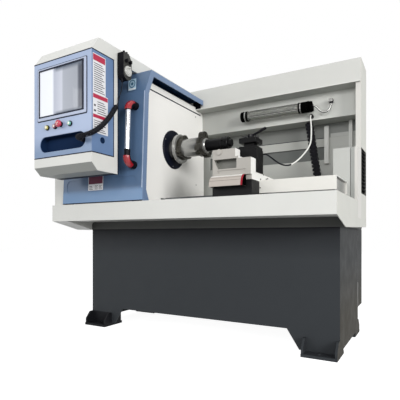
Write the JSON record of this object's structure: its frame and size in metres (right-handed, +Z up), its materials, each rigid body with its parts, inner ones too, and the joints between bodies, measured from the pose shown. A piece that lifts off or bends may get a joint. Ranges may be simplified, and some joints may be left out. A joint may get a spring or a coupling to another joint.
{
  "type": "wheel rim lathe",
  "caption": "Short CNC lathe for wheel rims: slant sliding door, hung control box, clamping mandrel, saddle with tool turret, on a footed base cabinet.",
  "frame": {"origin": "on the floor, in the middle of the four floor bolt holes in the feet", "axes": "+X along the spindle towards the tail end, +Y to the back, +Z up"},
  "size_m": [1.814, 1.2989, 1.665],
  "materials": {
    "charcoal_paint": "textured satin",
    "beam_paint": "textured satin",
    "light_paint": "fine satin",
    "door_blue": "satin",
    "panel_blue": "satin",
    "machine_black": "satin",
    "apron_paint": "satin",
    "motor_paint": "satin",
    "casting_paint": "satin",
    "bed_iron": "ground ways",
    "slide_iron": "ground",
    "dark_steel": "blackened",
    "bright_steel": "turned",
    "black_steel": "blackened",
    "chrome_tube": "polished",
    "navy_plastic": "satin",
    "black_plastic": "satin",
    "red_plastic": "gloss",
    "yellow_plastic": "gloss",
    "pink_plastic": "gloss",
    "green_plastic": "gloss",
    "bezel_plastic": "satin",
    "screen_glass": "gloss",
    "lamp_glass": "clear",
    "black_rubber": "matt",
    "grey_lead": "matt",
    "hose_plastic": "satin"
  },
  "bodies": {
    "machine": {"base_cabinet": "charcoal_paint", "base_top_beam": "beam_paint", "chip_tray": "light_paint", "right_end_cover": "light_paint", "rear_enclosure": "light_paint", "headstock_cover": "light_paint", "headstock_guard": "light_paint", "headstock_casting": "casting_paint", "spindle_bearings": "bright_steel", "spindle_ring_cover": "navy_plastic", "main_motor": "motor_paint", "drive_belt": "black_rubber", "bed_casting": "bed_iron", "z_servo_motor": "machine_black", "fixed_way_cover": "bright_steel", "control_box": "light_paint", "control_front": "panel_blue", "screen_bezel": "bezel_plastic", "screen_glass": "screen_glass", "panel_fittings": "navy_plastic", "pendant_body": "black_plastic", "pendant_lead": "black_rubber", "pendant_coil": "black_rubber", "lamp_tube": "lamp_glass", "lamp_fittings": "black_plastic", "lamp_lead": "grey_lead", "coolant_hose": "hose_plastic", "drag_chain": "black_plastic"},
    "door": {"door_panel": "door_blue", "door_handle": "chrome_tube", "handle_brackets": "black_plastic", "handle_caps": "red_plastic", "door_shoes": "black_plastic"},
    "spindle": {"spindle_shaft": "bright_steel", "spindle_nose": "bright_steel", "spindle_pulley": "bright_steel"},
    "clamp": {"clamp_flange": "dark_steel", "clamp_collar": "bright_steel", "clamp_nut": "black_steel"},
    "motor_drive": {"motor_pulley": "bright_steel"},
    "saddle_body": {"saddle": "machine_black", "saddle_top_plate": "slide_iron", "saddle_apron": "apron_paint", "moving_way_cover": "light_paint", "coolant_pipe": "black_steel", "x_servo_motor": "machine_black"},
    "z_screw": {"z_ball_screw": "bright_steel"},
    "x_screw": {"x_ball_screw": "bright_steel"},
    "cross_slide_body": {"cross_slide": "slide_iron", "tool_riser": "black_steel"},
    "tool_turret": {"turret": "black_steel", "turret_bolts": "black_steel"},
    "lever": {"clamp_lever": "black_plastic"},
    "yellow_button": {"button_yellow": "yellow_plastic"},
    "pink_button": {"button_pink": "pink_plastic"},
    "emergency_stop": {"estop_button": "red_plastic"},
    "green_button": {"button_green": "green_plastic"},
    "dial": {"pendant_dial": "bright_steel"},
    "knob_left": {"pendant_knob_left": "black_plastic"},
    "knob_right": {"pendant_knob_right": "black_plastic"}
  },
  "joints": [
    {"name": "door_slide", "type": "slide", "parent": "machine", "child": "door", "axis": [1, 0, 0], "range_m": [0, 0.6]},
    {"name": "spindle_spin", "type": "hinge", "parent": "machine", "child": "spindle", "pos_m": [-0.2, -0.088, 1.174], "axis": [1, 0, 0], "continuous": true},
    {"name": "clamp_slide", "type": "slide", "parent": "spindle", "child": "clamp", "axis": [1, 0, 0], "range_m": [0, 0.04]},
    {"name": "motor_spin", "type": "hinge", "parent": "machine", "child": "motor_drive", "pos_m": [-0.9, 0.162, 0.85], "axis": [1, 0, 0], "continuous": true},
    {"name": "saddle_slide", "type": "slide", "parent": "machine", "child": "saddle_body", "axis": [1, 0, 0], "range_m": [-0.235, 0.02], "deforming": ["coolant_hose"]},
    {"name": "z_screw_spin", "type": "hinge", "parent": "machine", "child": "z_screw", "pos_m": [0.2, -0.088, 0.775], "axis": [1, 0, 0], "range_deg": [-720, 8460]},
    {"name": "cross_slide_feed", "type": "slide", "parent": "saddle_body", "child": "cross_slide_body", "axis": [0, 1, 0], "range_m": [-0.08, 0]},
    {"name": "x_screw_spin", "type": "hinge", "parent": "saddle_body", "child": "x_screw", "pos_m": [0.265, -0.2, 0.923], "axis": [0, 1, 0], "range_deg": [0, 5760]},
    {"name": "turret_index", "type": "hinge", "parent": "cross_slide_body", "child": "tool_turret", "pos_m": [0.333, -0.236, 1.1], "axis": [0, 0, 1], "continuous": true},
    {"name": "lever_clamp", "type": "hinge", "parent": "cross_slide_body", "child": "lever", "pos_m": [0.333, -0.236, 1.15], "axis": [0, 0, 1], "range_deg": [-75, 20]},
    {"name": "yellow_press", "type": "slide", "parent": "machine", "child": "yellow_button", "axis": [0, 1, 0], "range_m": [0, 0.003], "stiffness_N_per_m": 300, "springref_m": -0.003},
    {"name": "pink_press", "type": "slide", "parent": "machine", "child": "pink_button", "axis": [0, 1, 0], "range_m": [0, 0.003], "stiffness_N_per_m": 300, "springref_m": -0.003},
    {"name": "emergency_press", "type": "slide", "parent": "machine", "child": "emergency_stop", "axis": [0, 1, 0], "range_m": [0, 0.004], "stiffness_N_per_m": 300, "springref_m": -0.003},
    {"name": "green_press", "type": "slide", "parent": "machine", "child": "green_button", "axis": [0, 1, 0], "range_m": [0, 0.003], "stiffness_N_per_m": 300, "springref_m": -0.003},
    {"name": "dial_turn", "type": "hinge", "parent": "machine", "child": "dial", "pos_m": [-0.28, -0.55, 1.535], "axis": [1, 0, 0], "continuous": true},
    {"name": "knob_left_turn", "type": "hinge", "parent": "machine", "child": "knob_left", "pos_m": [-0.28, -0.567, 1.589], "axis": [1, 0, 0], "range_deg": [-60, 60]},
    {"name": "knob_right_turn", "type": "hinge", "parent": "machine", "child": "knob_right", "pos_m": [-0.28, -0.533, 1.589], "axis": [1, 0, 0], "range_deg": [-60, 60]}
  ],
  "couplings": [
    {"joint": "motor_spin", "follows": "spindle_spin", "ratio": 1.6667},
    {"joint": "z_screw_spin", "follows": "saddle_slide", "rad_per_m": -628.32},
    {"joint": "x_screw_spin", "follows": "cross_slide_feed", "rad_per_m": -1256.6}
  ]
}
